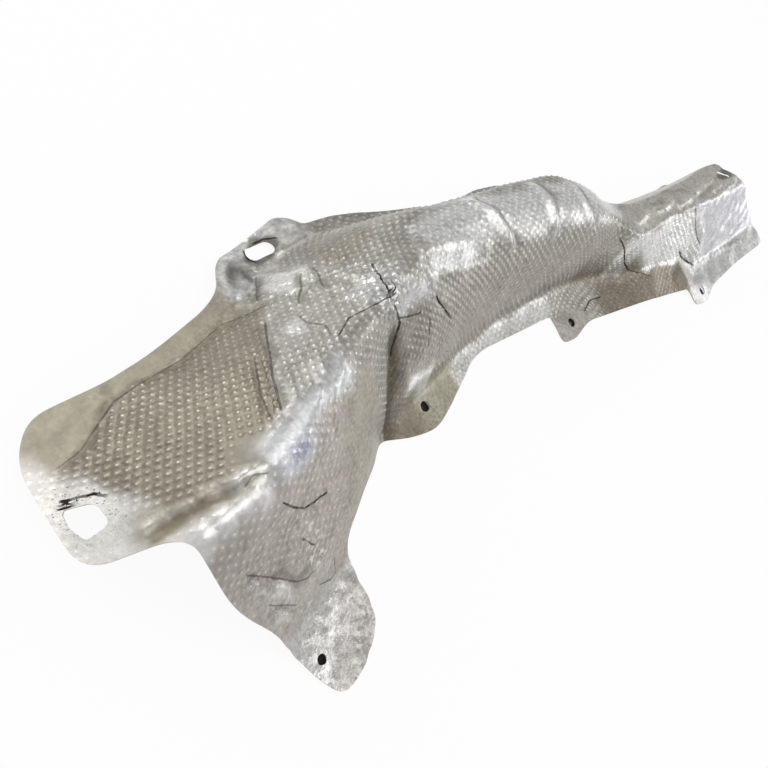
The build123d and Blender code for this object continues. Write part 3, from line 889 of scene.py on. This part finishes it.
wander = (mottle(5) - 0.5) * 2.2
off_line = kept("crack", "X") + wander
crack_line = 1 - fade(off_line.maths("ABSOLUTE", off_line), 0.7, 1.3)
crack_line = crack_line * kept("crack", "Y") * (0.75 + 0.25 * fade(mottle(7), 0.38, 0.5))
specks = fade(mottle(2.2), 0.62, 0.68) * kept("wear", "Y")
uneven = sheet.node("ShaderNodeAttribute", {"attribute_name": "tint"}, {}, "Alpha")
blotches = 1.0 + (mottle(26, 4) - 0.5) * 0.55 + ((mottle(3, 3) - 0.5) * 1.2 + (mottle(9, 4) - 0.5) * 0.6) * uneven
tone = mixed(1.0, kept("tint"), blotches, "MULTIPLY")
tone = mixed(fade(mottle(9, 3), 0.60, 0.72) * kept("wear", "Y") * 0.5, tone, (0.36, 0.28, 0.14, 1))
tone = mixed(fade(mottle(5, 4), 0.54, 0.64) * kept("crack", "Z") * 0.8, tone, (0.86, 0.85, 0.80, 1))
dark_marks = crack_line + specks
tone = mixed(dark_marks.maths("MINIMUM", dark_marks, 1.0), tone, (0.012, 0.010, 0.008, 1))
gloss = kept("wear", "X") + (mottle(12, 3) - 0.5) * 0.16
fine = mottle(2.0, 2) * kept("wear", "Z") + mottle(7, 3) * uneven * 0.5 - crack_line * 0.6
pitted = sheet.node("ShaderNodeBump", {}, {"Strength": 0.8, "Distance": 0.0009, "Height": fine})
surface = sheet.node("ShaderNodeBsdfPrincipled", {}, {"Base Color": tone, "Roughness": gloss, "Metallic": 0.6,
                                                      "Normal": pitted})
sheet.node("ShaderNodeOutputMaterial", {}, {"Surface": surface})
mesh.materials.append(metal_look)

# stage: a white floor that keeps a faint shadow, with a painted dark shadow right under the five round holes
floor_half = 6
floor_glow = 0.92
dark_reach, light_reach = 0.006, 0.009
floor_mesh = bpy.data.meshes.new("floor")
floor_mesh.from_pydata([(-floor_half, -floor_half, 0), (floor_half, -floor_half, 0), (floor_half, floor_half, 0),
                        (-floor_half, floor_half, 0)], [], [(0, 1, 2, 3)])
floor = placed("floor", floor_mesh)
floor_look = bpy.data.materials.new("white_floor")
paper = empty_tree(floor_look)
seen = 0
for ray in ("Is Camera Ray", "Is Glossy Ray", "Is Transmission Ray"):
    seen = seen + paper.node("ShaderNodeLightPath", {}, {}, ray)
seen = seen.maths("MINIMUM", seen, 1.0)
shut = paper.node("ShaderNodeAmbientOcclusion", {"samples": 8}, {"Distance": 0.012}, "AO")
shut = 1 - fade(shut, 0.8, 1.0)
spot = paper.node("ShaderNodeNewGeometry", {}, {}, "Position")
under_holes = 0
for hole in (near_bolt_1, near_bolt_2, near_bolt_3, far_bolt, tongue_hole):
    below = Vector((*to_part((*plan(*hole), 0))[:2], 0))
    away = paper.node("ShaderNodeVectorMath", {"operation": "DISTANCE"}, {0: spot, 1: below}, "Value")
    under_holes = under_holes + fade(away, light_reach, dark_reach)
open_floor = 1 - shut * under_holes
shade = paper.node("ShaderNodeMix", {"data_type": "RGBA"},
                   {0: open_floor, 6: (0.03, 0.03, 0.03, 1), 7: (0.9, 0.9, 0.9, 1)}, 2)
matt = paper.node("ShaderNodeBsdfDiffuse", {}, {"Color": shade})
white = paper.node("ShaderNodeEmission", {}, {"Color": (1, 1, 1, 1), "Strength": 1.0})
blend = paper.node("ShaderNodeMixShader", {}, {0: seen * open_floor * floor_glow, 1: matt, 2: white})
paper.node("ShaderNodeOutputMaterial", {}, {"Surface": blend})
floor_mesh.materials.append(floor_look)

# room: one plain level all round, since the camera looks down on the floor alone
room_level = 0.42
world = bpy.data.worlds.new("studio")
room = empty_tree(world)
walls = room.node("ShaderNodeBackground", {}, {"Color": (1, 1, 1, 1), "Strength": room_level})
room.node("ShaderNodeOutputWorld", {}, {"Surface": walls})
scene.world = world


def softbox(name, place, aim, width, height, power):
    """A soft studio lamp at a place, in metres, turned to the point it aims at."""
    lamp = bpy.data.lights.new(name, "AREA")
    lamp.shape = "RECTANGLE"
    lamp.size = width
    lamp.size_y = height
    lamp.energy = power
    holder = placed(name, lamp)
    holder.location = place
    holder.rotation_euler = (Vector(aim) - Vector(place)).to_track_quat("-Z", "Y").to_euler()


softbox("overhead", (-0.3, -0.2, 2.4), (-0.1, 0, 0), 2.8, 2.8, 36)
softbox("window", (2.1, -0.7, 0.9), (0.1, 0, 0.05), 1.4, 0.9, 10)
softbox("back_left", (-0.7, 1.9, 0.8), (-0.1, 0, 0.05), 1.4, 0.8, 12)

# camera where the photographer stood, looking along the shield from above its mouth
camera_spot = (-395.5, -152.3, 427.5)
focal_pixels, picture_pixels, sensor_width = 670, 768, 36
right = Vector(turned @ np.array((0.7854, -0.4137, 0.4600))).normalized()
up = Vector(turned @ np.array((0.2745, 0.9000, 0.3400)))
back = right.cross(up).normalized()
up = back.cross(right)
camera_data = bpy.data.cameras.new("camera")
camera_data.sensor_width = sensor_width
camera_data.lens = sensor_width * focal_pixels / picture_pixels
camera_data.clip_start = 0.01
camera = placed("camera", camera_data)
axes = Matrix((right, up, back)).transposed().to_4x4()
camera.matrix_world = Matrix.Translation(to_part(camera_spot)) @ axes
scene.camera = camera
scene.view_settings.view_transform = "Standard"
